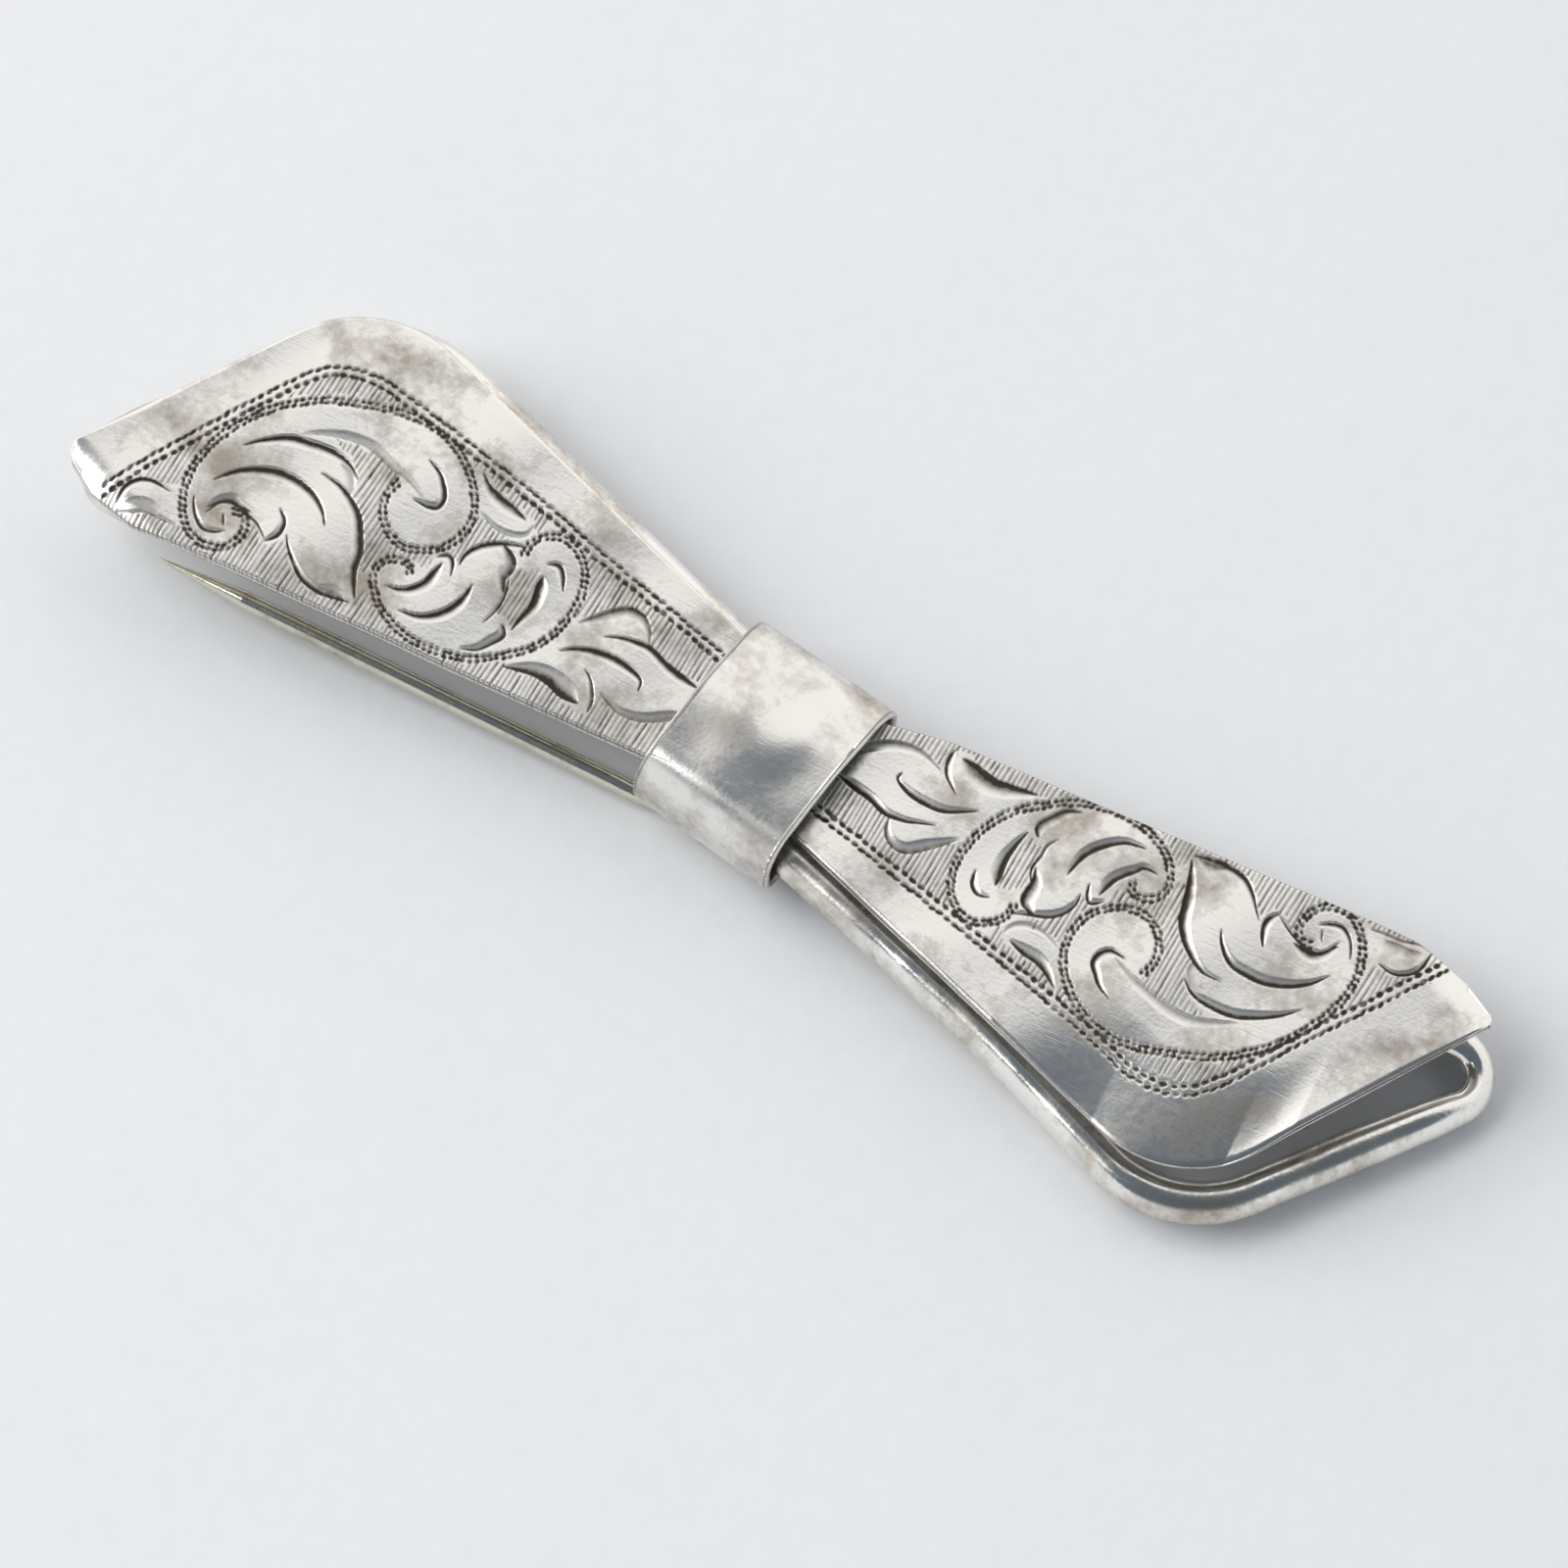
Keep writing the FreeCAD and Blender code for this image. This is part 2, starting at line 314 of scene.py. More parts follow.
# %% Cells inside a field
def fill(polygon):
    """True where a plate cell lies inside the polygon."""
    p = np.array(polygon, float)
    box = window(p[:, 0].min(), p[:, 1].min(), p[:, 0].max(), p[:, 1].max())
    x, y = GX[box], GY[box]
    inside = np.zeros(x.shape, bool)
    for (xa, ya), (xb, yb) in zip(p, np.roll(p, -1, axis=0)):
        if ya == yb:
            continue
        crosses = (ya > y) != (yb > y)
        inside ^= crosses & (x < (xb - xa) * (y - ya) / (yb - ya) + xa)
    whole = np.zeros(GX.shape, bool)
    whole[box] = inside
    return whole


print("cells in a 1 mm square:", int(fill([(5, 0), (6, 0), (6, 1), (5, 1)]).sum()))

# %% [markdown]
# ## The ornament
#
# The pattern is the common foliate scrollwork of its time: a large C-scroll, a smaller one that
# answers it, and leaf strokes that fill the rest. Points are in millimetres from the middle of
# the bow.

# %% Border and scroll lines
BORDERS = {
    "left": [(3.2, -2.55), (7.0, -3.65), (11.0, -4.75), (15.0, -5.95), (19.0, -6.95), (22.0, -7.62),
             (23.6, -7.95), (25.0, -7.87), (26.2, -7.45), (27.1, -6.65), (28.0, -5.35), (29.0, -3.85),
             (30.0, -2.25), (31.0, -0.65), (32.0, 1.05), (33.0, 2.85)],
    "right": [(3.2, -2.45), (7.0, -3.45), (10.0, -4.3), (13.0, -5.15), (16.0, -6.0), (18.0, -6.6),
              (20.0, -7.25), (21.5, -7.78), (22.9, -7.98), (24.1, -7.75), (25.1, -7.1), (26.0, -6.1),
              (27.0, -4.65), (28.0, -3.2), (29.0, -1.8), (30.0, -0.45), (31.0, 0.95), (32.0, 2.4),
              (32.5, 3.2)],
}
BIG_SCROLL = [
    (27.0, 1.10), (26.4, 1.12), (26.08, 1.7), (26.15, 2.4), (26.6, 3.0), (27.4, 3.22), (28.2, 3.0),
    (28.9, 2.35), (29.4, 1.35), (29.62, 0.2), (29.5, -1.0), (29.1, -2.2), (28.4, -3.4), (27.5, -4.5),
    (26.3, -5.45), (25.0, -6.1), (23.4, -6.6), (21.9, -6.9), (20.6, -6.85), (19.5, -6.5), (18.5, -5.85),
    (17.7, -5.0), (17.15, -4.0), (17.02, -3.0), (17.25, -2.1), (17.8, -1.4), (18.6, -0.95), (19.4, -0.85),
    (20.2, -1.2), (20.8, -1.9), (21.05, -2.8), (20.85, -3.65),
]
SMALL_SCROLL = [
    (14.1, -3.0), (14.05, -3.7), (13.6, -4.25), (12.9, -4.55), (12.1, -4.35), (11.45, -3.8), (11.0, -3.0),
    (10.82, -2.1), (10.88, -1.1), (11.1, -0.2), (11.5, 0.65), (12.1, 1.4), (12.9, 2.05), (13.8, 2.65),
    (14.8, 3.02), (15.9, 3.17), (17.0, 3.1), (18.0, 2.8), (18.85, 2.3), (19.5, 1.6), (19.82, 0.85),
    (19.65, 0.2), (19.1, -0.15), (18.5, -0.1), (18.3, 0.35),
]
print("scroll points:", len(BIG_SCROLL), "and", len(SMALL_SCROLL))

# %% [markdown]
# Each leaf stroke is written as its line, its greatest width and depth, the side of its steep
# wall, where along the line it is widest, and how black it is. The black is strongest at the
# steep wall, tarnish and painted shade together, and gives the ornament its drawing.

# %% Leaf strokes
LEAF_STROKES = [
    ([(4.0, 0.75), (4.9, 1.4), (5.8, 1.85), (6.8, 1.95), (7.95, 1.6)], 0.50, 0.13, 1, 0.2, 0.55),
    ([(4.0, -0.62), (5.0, -0.75), (5.9, -1.0), (6.8, -1.35), (7.7, -1.38), (8.4, -1.2), (9.0, -1.0)],
      0.42, 0.17, -1, 0.2, 1.0),
    ([(6.5, 0.75), (6.6, 0.25), (7.2, -0.02), (8.1, -0.15), (9.1, -0.1), (9.9, 0.18), (10.5, 0.5)],
      0.40, 0.18, -1, 0.45, 1.0),
    ([(8.05, 2.75), (8.15, 2.1), (8.45, 1.5), (8.8, 1.1), (9.15, 0.85)], 0.26, 0.13, -1, 0.35, 0.75),
    ([(8.6, 2.5), (9.4, 2.1), (10.3, 1.85), (11.2, 1.95), (12.4, 2.35)], 0.95, 0.16, 1, 0.25, 0.85),
    ([(7.05, -1.55), (7.35, -2.2), (7.9, -2.6), (8.5, -2.6), (9.1, -2.2), (9.7, -1.65), (10.3, -1.15)],
      0.55, 0.14, -1, 0.55, 0.65),
    ([(12.95, 0.6), (12.72, -0.2), (12.58, -1.0), (12.62, -1.8), (12.85, -2.5)], 0.55, 0.18, 1, 0.8, 1.0),
    ([(11.75, -2.2), (12.05, -2.8), (12.45, -3.15), (12.95, -3.1)], 0.30, 0.15, -1, 0.55, 0.95),
    ([(14.6, 2.55), (14.0, 2.1), (13.55, 1.55), (13.3, 1.0), (13.45, 0.55)], 0.46, 0.13, -1, 0.75, 0.75),
    ([(14.3, 0.85), (14.08, 0.3), (14.0, -0.3), (14.05, -1.0), (14.2, -1.6)], 0.14, 0.10, -1, 0.6, 0.9),
    ([(14.1, -0.9), (14.45, -1.5), (14.5, -2.1), (14.6, -2.6), (15.2, -3.0)], 0.66, 0.15, -1, 0.6, 0.75),
    ([(16.5, -1.15), (16.45, -1.75), (16.15, -2.3), (15.6, -2.8), (14.9, -3.15), (14.2, -3.35)],
      0.32, 0.15, 1, 0.45, 0.9),
    ([(15.5, -0.6), (15.52, 0.2), (15.8, 1.0), (16.35, 1.65), (17.1, 2.05), (18.0, 2.15)],
      0.44, 0.18, -1, 0.4, 1.0),
    ([(17.25, -0.9), (17.3, -0.2), (17.5, 0.4), (17.95, 0.95), (18.45, 1.25), (19.1, 1.2)],
      0.46, 0.17, -1, 0.3, 0.9),
    ([(16.6, -0.55), (16.8, -1.1), (17.15, -1.35), (17.6, -1.1)], 0.24, 0.14, -1, 0.6, 0.95),
    ([(14.35, -4.5), (14.55, -3.95), (15.1, -3.68), (15.9, -3.68), (16.8, -4.02)],
      0.24, 0.08, 1, 0.4, 0.45),
    ([(14.8, -4.6), (15.6, -4.75), (16.4, -4.95), (17.1, -5.3), (17.65, -5.85)],
      0.55, 0.14, -1, 0.4, 0.8),
    ([(20.05, 2.55), (20.45, 1.9), (20.8, 1.2), (21.0, 0.4), (21.3, -0.4), (21.8, -1.15), (22.5, -1.8),
      (23.3, -2.2), (24.2, -2.37)], 0.52, 0.17, -1, 0.35, 0.95),
    ([(20.15, 2.72), (20.8, 2.8), (21.7, 2.86), (22.6, 2.65), (23.3, 2.15), (23.85, 1.6), (24.25, 1.1)],
      0.34, 0.15, 1, 0.3, 0.95),
    ([(20.4, 2.65), (20.9, 2.55), (21.4, 2.6), (21.8, 2.8)], 0.42, 0.08, 1, 0.5, 0.55),
    ([(25.0, 1.85), (24.68, 1.3), (24.72, 0.6), (25.1, 0.0)], 0.32, 0.17, -1, 0.4, 1.0),
    ([(25.0, 1.75), (25.7, 1.3), (26.4, 0.98), (27.0, 0.82), (27.6, 1.0), (28.1, 1.75)],
      0.16, 0.10, -1, 0.5, 0.85),
    ([(26.2, 0.8), (26.9, 0.58), (27.3, 0.55), (27.8, 0.9), (28.1, 1.5)], 0.46, 0.13, 1, 0.45, 0.8),
    ([(26.85, 2.1), (27.25, 2.4), (27.8, 2.42), (28.3, 2.15), (28.65, 1.7), (28.9, 1.25)],
      0.24, 0.12, 1, 0.35, 0.85),
    ([(27.05, 1.95), (27.15, 1.7), (27.3, 1.45)], 0.12, 0.07, 1, 0.5, 0.8),
    ([(22.95, -0.05), (23.35, -0.7), (24.1, -1.2), (25.0, -1.45), (26.0, -1.45), (27.0, -1.12),
      (27.8, -0.6), (28.45, 0.12)], 0.46, 0.18, -1, 0.5, 1.0),
    ([(22.6, -2.9), (23.3, -3.35), (24.2, -3.55), (25.3, -3.48), (26.3, -3.2), (27.3, -2.65),
      (28.05, -2.0)], 0.42, 0.17, -1, 0.5, 0.95),
    ([(22.7, -2.0), (22.85, -2.5), (23.2, -2.95), (23.7, -3.2)], 0.55, 0.08, -1, 0.4, 0.35),
    ([(19.4, -3.35), (20.4, -3.95), (21.5, -4.35), (22.7, -4.68), (23.8, -4.68), (24.8, -4.38),
      (25.9, -3.85)], 0.46, 0.09, 1, 0.5, 0.42),
    ([(19.8, -3.2), (19.1, -3.22), (18.75, -3.45), (18.72, -3.95), (19.0, -4.45), (19.45, -4.88),
      (20.1, -5.3)], 0.34, 0.17, -1, 0.4, 1.0),
    ([(31.95, 3.1), (31.85, 2.3), (31.5, 1.75), (30.9, 1.52), (30.1, 1.55)], 0.26, 0.15, 1, 0.4, 0.9),
    ([(29.0, 2.95), (29.8, 2.92), (30.5, 3.0), (31.2, 3.22), (31.8, 3.4)], 0.18, 0.08, 1, 0.4, 0.55),
    ([(29.9, 2.75), (30.5, 2.6), (31.1, 2.65), (31.6, 2.9)], 0.60, 0.07, 1, 0.4, 0.35),
]
print("strokes on each wing:", len(LEAF_STROKES))

# %% [markdown]
# The background between the leaves is lined with fine parallel cuts, so that the smooth bodies
# stand out. The lined fields are drawn as polygons around those bodies.

# %% Lined fields
LINED_FIELDS = [
    [(2.6, 3.9), (4.2, 1.15), (5.0, 1.75), (6.0, 2.12), (7.0, 2.1), (7.95, 1.7), (8.0, 2.8), (8.8, 2.85),
     (9.6, 2.5), (10.5, 2.25), (12.3, 2.35), (12.7, 2.25), (13.6, 2.85), (14.8, 3.25), (16.0, 3.4),
     (17.2, 3.35), (18.2, 3.05), (19.1, 2.5), (19.8, 1.8), (20.0, 2.5), (20.3, 2.85), (21.0, 3.08),
     (22.0, 3.1), (22.9, 2.8), (23.6, 2.2), (24.35, 1.15), (24.6, 2.0), (25.0, 1.95), (25.9, 1.35),
     (25.85, 2.2), (26.2, 2.95), (26.9, 3.38), (27.9, 3.42), (28.7, 3.05), (30.4, 3.08), (31.7, 3.45),
     (32.1, 2.2), (32.7, 3.0), (33.2, 3.9)],
    [(2.6, -1.0), (5.2, -1.0), (6.0, -1.25), (6.7, -1.55), (7.05, -1.6), (7.25, -2.4), (7.9, -2.95),
     (8.4, -2.95), (9.0, -2.6), (9.6, -2.1), (10.0, -1.6), (10.65, -1.3), (10.6, -2.4), (10.85, -3.3),
     (11.4, -4.0), (11.6, -4.5), (9.0, -3.8), (7.0, -3.25), (2.6, -2.0)],
    [(13.05, 0.4), (13.9, 0.05), (13.93, -0.6), (14.0, -1.5), (14.0, -2.3), (13.5, -2.4), (13.1, -2.6),
     (12.95, -1.8), (12.85, -0.9)],
    [(14.9, -3.3), (15.6, -3.0), (16.2, -2.5), (16.55, -1.8), (16.6, -1.3), (17.15, -1.6), (16.85, -2.4),
     (16.85, -3.9), (16.1, -3.6), (15.2, -3.55)],
    [(14.0, -4.2), (13.9, -5.25), (16.5, -5.95), (18.6, -6.45), (18.0, -5.75), (17.6, -6.0), (17.0, -5.6),
     (16.3, -5.3), (15.4, -5.05), (14.7, -4.9), (14.3, -4.5)],
    [(17.7, -0.5), (18.2, -0.3), (18.9, -0.42), (19.5, -0.25), (20.0, 0.3), (20.1, 1.3), (20.6, 1.0),
     (20.85, 0.1), (21.2, -0.8), (21.9, -1.55), (22.65, -2.1), (22.5, -2.9), (23.1, -3.6), (24.4, -4.3),
     (22.7, -4.4), (21.5, -4.1), (20.95, -3.9), (21.25, -3.0), (21.1, -2.0), (20.4, -1.1), (19.6, -0.65),
     (18.8, -0.65), (17.8, -1.1)],
    [(21.9, -7.15), (23.4, -6.85), (25.0, -6.4), (26.4, -5.75), (27.4, -5.0), (26.8, -6.4), (26.0, -7.1),
     (25.0, -7.45), (23.8, -7.55), (22.7, -7.35)],
    [(29.85, 1.2), (30.2, 1.35), (31.0, 1.3), (31.6, 1.5), (30.9, 0.0), (30.3, -1.0), (29.75, -1.9),
     (29.85, -0.6)],
]
print("lined fields on each wing:", len(LINED_FIELDS))

# %% [markdown]
# ## Engrave one plate
#
# Both wings carry the same pattern, but a hand never repeats itself. The seed changes the spacing
# of dots and lines a little from wing to wing.

# %% The engraver at work
def laid_out(points, wing):
    """The right wing's pattern was drawn a little further in and higher than the left one's."""
    p = np.array(points, float)
    if wing == "left":
        return p
    moved = p[:, 0] - 0.42 + 0.06 * p[:, 1] - 0.03 * np.clip(p[:, 0] - 20, 0, 9)
    return np.column_stack([moved, p[:, 1] + 0.35])


def spread(field, cells):
    """Widens the black over the rim of each cut: painted shade that darkens the lip."""
    for k in range(cells):
        wide = field.copy()
        wide[1:] = np.maximum(wide[1:], field[:-1])
        wide[:-1] = np.maximum(wide[:-1], field[1:])
        wide[:, 1:] = np.maximum(wide[:, 1:], field[:, :-1])
        wide[:, :-1] = np.maximum(wide[:, :-1], field[:, 1:])
        field = wide
    return field


LINE_PITCH = 0.245
LINE_LEAN = 0.07
LINE_HALF = 0.058
LINE_DEPTH = 0.022


def lined(field, rng, seed):
    """How strongly the background liner cuts each plate cell of a field."""
    u = (GX - LINE_LEAN * GY) / LINE_PITCH
    u = u + 0.18 * np.sin(GX * 1.7 + 0.6 * GY + seed) + 0.10 * np.sin(GX * 5.3 + seed)
    index = np.floor(u).astype(int)
    index -= index.min()
    strength = rng.uniform(0.45, 1.0, index.max() + 1)[index]
    shift = rng.integers(-5, 6, index.max() + 1)[index]
    rows = np.clip(np.arange(GX.shape[0])[:, None] + shift, 0, GX.shape[0] - 1)
    ragged = field[rows, np.arange(GX.shape[1])[None, :]]
    off = np.abs(u - np.floor(u) - 0.5) * LINE_PITCH
    fade = 0.75 + 0.25 * np.sin(GY * 2.1 + 1.7 * index)
    return np.clip(1 - (off / LINE_HALF) ** 2, 0, 1) * strength * fade * ragged


print("background lines are", LINE_PITCH, "mm apart")

# %% [markdown]
# The work goes in the engraver's order. The leaves come first, and their black is widened a little
# over the rims as painted shade. Then the dots are punched along the border and on both sides of
# each scroll, and the background is lined last. A dot is written as pitch, length, breadth and depth.

# %% Engrave one plate
STROKE_DEPTH = 0.75
HAND_WOBBLE = 0.03
BORDER_DOT = (0.43, 0.42, 0.20, 0.045)
INNER_DOT = (0.48, 0.38, 0.25, 0.05)
SCROLL_DOT = (0.31, 0.29, 0.20, 0.045)
BORDER_ROWS_APART = 0.40
DOT_ROWS_APART = 0.24


def engraved_plate(wing, seed):
    """The finished height map and black map of one wing."""
    rng = np.random.default_rng(seed)
    relief = np.zeros(GX.shape)
    patina_and_shade = np.zeros(GX.shape)
    field = np.zeros(GX.shape, bool)
    for polygon in LINED_FIELDS:
        field |= fill(laid_out(polygon, wing))
    for points, width, depth, wall, peak, dark in LEAF_STROKES:
        line = laid_out(points, wing) + rng.normal(0, HAND_WOBBLE, (len(points), 2))
        cut((relief, patina_and_shade), line, width, STROKE_DEPTH * depth, wall, peak, dark)
    patina_and_shade = spread(patina_and_shade, 1)
    plate = (relief, patina_and_shade)
    border = flowing(BORDERS[wing], 0.05)
    dot_row(plate, border, *BORDER_DOT, rng, slant=0.30)
    dot_row(plate, beside(border, BORDER_ROWS_APART), *INNER_DOT, rng, start=0.2)
    for scroll in (BIG_SCROLL, SMALL_SCROLL):
        line = flowing(laid_out(scroll, wing), 0.05)
        half = DOT_ROWS_APART / 2
        dot_row(plate, beside(line, half), *SCROLL_DOT, rng, slant=0.40)
        dot_row(plate, beside(line, -half), *SCROLL_DOT, rng, slant=0.40, start=0.15)
    line = lined(field, rng, seed)
    relief -= LINE_DEPTH * line
    # The lines are blackened: tarnish and painted shade in the fine cuts.
    patina_and_shade = np.maximum(patina_and_shade, line**0.5)
    return relief, np.clip(patina_and_shade, 0, 1)


def read_plate(field, x, y):
    """Plate values at points, after a light smoothing."""
    up, down = field[:-2], field[2:]
    mid = field[1:-1]
    sides = up[:, 1:-1] + down[:, 1:-1] + mid[:, :-2] + mid[:, 2:]
    soft = field.copy()
    soft[1:-1, 1:-1] = (mid[:, 1:-1] * 4 + 2 * sides + up[:, :-2] + up[:, 2:] + down[:, :-2]
                        + down[:, 2:]) / 16
    fx = np.clip((x - PLATE_X[0]) / PITCH, 0, GX.shape[1] - 1.001)
    fy = np.clip((y - PLATE_Y[0]) / PITCH, 0, GX.shape[0] - 1.001)
    ix, iy = fx.astype(int), fy.astype(int)
    ax, ay = fx - ix, fy - iy
    value = (soft[iy, ix] * (1 - ax) * (1 - ay) + soft[iy, ix + 1] * ax * (1 - ay)
             + soft[iy + 1, ix] * (1 - ax) * ay + soft[iy + 1, ix + 1] * ax * ay)
    return np.where(x > PLATE_X[0], value, 0.0)


print("border dots are", BORDER_DOT[0], "mm apart, scroll dots", SCROLL_DOT[0], "mm")

# %% [markdown]
# ## Materials: old silver
#
# Silver is a bright, slightly warm metal. What makes it look old is where it isn't bright: a
# cloudy brown-grey film on the flats, black in every cut (partly tarnish, partly painted shade),
# and polished metal again where fingers and cloth rub. Three node groups make these effects, and
# each material sets them its own way.

# %% Node group helpers
def group(name, inputs, outputs):
    """An empty shader group; inputs are (name, kind, default) and outputs (name, kind)."""
    tree = bpy.data.node_groups.new(name, "ShaderNodeTree")
    for label, kind, default in inputs:
        socket = tree.interface.new_socket(name=label, in_out="INPUT", socket_type=kind)
        socket.default_value = default
    for label, kind in outputs:
        tree.interface.new_socket(name=label, in_out="OUTPUT", socket_type=kind)
    start = tree.nodes.new("NodeGroupInput")
    end = tree.nodes.new("NodeGroupOutput")
    return tree, start, end


def put(tree, socket, value):
    """Links an output to the socket, or sets the socket's own value."""
    if isinstance(value, bpy.types.NodeSocket):
        tree.links.new(value, socket)
    else:
        socket.default_value = value


def feed(tree, made, **values):
    """Sets or links a node's inputs by name; an underscore stands for a space."""
    for name, value in values.items():
        put(tree, made.inputs[name.replace("_", " ")], value)
    return made


def node(tree, kind, settings=None, **values):
    """A node with its settings and its inputs."""
    made = tree.nodes.new(kind)
    for name, value in (settings or {}).items():
        setattr(made, name, value)
    return feed(tree, made, **values)


def maths(tree, operation, a, b, clamp=False):
    """A Math node; a and b are sockets or numbers."""
    made = node(tree, "ShaderNodeMath", {"operation": operation, "use_clamp": clamp})
    put(tree, made.inputs[0], a)
    put(tree, made.inputs[1], b)
    return made.outputs[0]


def blend_colour(tree, mask, a, b):
    """Mixes two colours or sockets by a mask."""
    made = node(tree, "ShaderNodeMix", {"data_type": "RGBA"}, Factor=mask)
    for slot, value in ((6, a), (7, b)):
        put(tree, made.inputs[slot], (*value, 1.0) if isinstance(value, tuple) else value)
    return made.outputs[2]


def new_material(name):
    """A material, its node tree and its surface shader."""
    material = bpy.data.materials.new(name)
    material.use_nodes = True
    tree = material.node_tree
    print("new material:", name)
    return material, tree, tree.nodes["Principled BSDF"]


# %% [markdown]
# The first group is the tarnish cloud: two noises of different size, sharpened into patches with
# soft, mottled edges. The second is fine wear: hair scratches and a faint grain for the bump. The
# third finds the rims, where the metal was rubbed bright.

# %% Tarnish, wear and rim groups
def tarnish_group():
    """Mask of the brown film, and the fine mottle inside it."""
    inputs = [("Patch size", "NodeSocketFloat", 250.0), ("Amount", "NodeSocketFloat", 0.5),
              ("Sharpness", "NodeSocketFloat", 3.0)]
    outputs = [("Mask", "NodeSocketFloat"), ("Fine", "NodeSocketFloat")]
    tree, start, end = group("tarnish_cloud", inputs, outputs)
    place = node(tree, "ShaderNodeTexCoord").outputs["Object"]
    large = node(tree, "ShaderNodeTexNoise", Vector=place, Scale=start.outputs["Patch size"],
                 Detail=6.0, Roughness=0.62)
    fine = node(tree, "ShaderNodeTexNoise", Vector=place, Scale=2600.0, Detail=3.0, Roughness=0.6)
    mottle = maths(tree, "MULTIPLY", fine.outputs["Fac"], 0.22)
    mixed = maths(tree, "ADD", large.outputs["Fac"], mottle)
    level = maths(tree, "SUBTRACT", mixed, maths(tree, "SUBTRACT", 1.11, start.outputs["Amount"]))
    sharp = maths(tree, "MULTIPLY", level, start.outputs["Sharpness"], clamp=True)
    feed(tree, end, Mask=sharp, Fine=fine.outputs["Fac"])
    return tree


def wear_group():
    """Height of hair scratches and grain, for the bump."""
    tree, start, end = group("fine_wear", [("Grain", "NodeSocketFloat", 1.0)],
                             [("Height", "NodeSocketFloat")])
    place = node(tree, "ShaderNodeTexCoord").outputs["Object"]
    stretch = node(tree, "ShaderNodeMapping", Vector=place, Scale=(500.0, 9000.0, 500.0),
                   Rotation=(0.0, 0.0, 0.7))
    hair = node(tree, "ShaderNodeTexNoise", Vector=stretch.outputs["Vector"], Scale=1.0, Detail=2.0)
    long_hair = maths(tree, "SUBTRACT", hair.outputs["Fac"], 0.6)
    scratch = maths(tree, "MULTIPLY", long_hair, 6.0, clamp=True)
    grain = node(tree, "ShaderNodeTexNoise", Vector=place, Scale=5200.0, Detail=2.0)
    pits = maths(tree, "MULTIPLY", grain.outputs["Fac"], start.outputs["Grain"])
    height = maths(tree, "SUBTRACT", pits, maths(tree, "MULTIPLY", scratch, 0.5))
    feed(tree, end, Height=height)
    return tree


def rim_group():
    """Mask of the outer rims, where cloth rubs."""
    tree, start, end = group("rubbed_rim", [("Reach", "NodeSocketFloat", 8.0)],
                             [("Mask", "NodeSocketFloat")])
    shape = node(tree, "ShaderNodeNewGeometry")
    level = maths(tree, "SUBTRACT", shape.outputs["Pointiness"], 0.52)
    mask = maths(tree, "MULTIPLY", level, start.outputs["Reach"], clamp=True)
    feed(tree, end, Mask=mask)
    return tree


TARNISH, WEAR, RIM = tarnish_group(), wear_group(), rim_group()
print("node groups:", [g.name for g in bpy.data.node_groups])

# %% [markdown]
# One recipe makes all metals of the clip. Its colours, tarnish and gloss differ from piece to
# piece: the sheet is cloudy, the wire is brighter, the pin is yellowish nickel silver, and the
# small parts under the knot and leaves are painted dark, as painted shade.

# %% The metal recipe
# Colour of the black in the cuts: partly tarnish, partly painted shade.
BLACK_IN_CUTS = (0.034, 0.026, 0.018)


def old_metal(name, bright, film, patch, amount, sharpness, gloss, dull, grain, has_cuts=False):
    """Bright metal under a film; engraved metal also has black in its cuts, partly tarnish and partly
    painted shade.
    """
    material, tree, shader = new_material(name)
    cloud = node(tree, "ShaderNodeGroup", {"node_tree": TARNISH}, Patch_size=patch, Amount=amount,
                 Sharpness=sharpness)
    wear = node(tree, "ShaderNodeGroup", {"node_tree": WEAR})
    rim = node(tree, "ShaderNodeGroup", {"node_tree": RIM})
    film_mask = maths(tree, "MULTIPLY", cloud.outputs["Mask"],
                      maths(tree, "SUBTRACT", 1.0, rim.outputs["Mask"]), clamp=True)
    colour = blend_colour(tree, film_mask, bright, film)
    rough = maths(tree, "ADD", gloss, maths(tree, "MULTIPLY", film_mask, dull - gloss))
    rough = maths(tree, "ADD", rough, maths(tree, "MULTIPLY", cloud.outputs["Fine"], 0.08))
    feed(tree, shader, Metallic=1.0, Specular_IOR_Level=0.15)
    if has_cuts:
        # The cut black, tarnish and painted shade, is mixed over the colour and takes away the metal's
        # shine.
        black = node(tree, "ShaderNodeAttribute", {"attribute_name": "patina_and_shade"}).outputs["Fac"]
        uneven = maths(tree, "ADD", 0.70, maths(tree, "MULTIPLY", cloud.outputs["Fine"], 0.85))
        black_mask = maths(tree, "MULTIPLY", black, uneven, clamp=True)
        colour = blend_colour(tree, black_mask, colour, BLACK_IN_CUTS)
        rough = maths(tree, "ADD", rough, maths(tree, "MULTIPLY", black_mask, 0.3), clamp=True)
        feed(tree, shader, Metallic=maths(tree, "SUBTRACT", 1.0, black_mask))
    bump = node(tree, "ShaderNodeBump", Height=wear.outputs["Height"], Strength=grain,
                Distance=0.00004)
    feed(tree, shader, Base_Color=colour, Roughness=rough, Normal=bump.outputs["Normal"])
    return material


leaf_silver = old_metal("engraved_silver", (0.86, 0.84, 0.805), (0.40, 0.36, 0.315), 260.0, 0.52,
                        4.5, gloss=0.18, dull=0.33, grain=0.12, has_cuts=True)
wire_silver = old_metal("wire_silver", (0.88, 0.86, 0.815), (0.40, 0.35, 0.28), 220.0, 0.54,
                        4.0, gloss=0.12, dull=0.34, grain=0.12)
knot_silver = old_metal("knot_silver", (0.84, 0.82, 0.78), (0.42, 0.375, 0.33), 280.0, 0.56,
                        4.0, gloss=0.20, dull=0.36, grain=0.12)
pin_metal = old_metal("pin_nickel", (0.66, 0.635, 0.53), (0.30, 0.28, 0.20), 420.0, 0.50,
                      3.0, gloss=0.15, dull=0.32, grain=0.10)
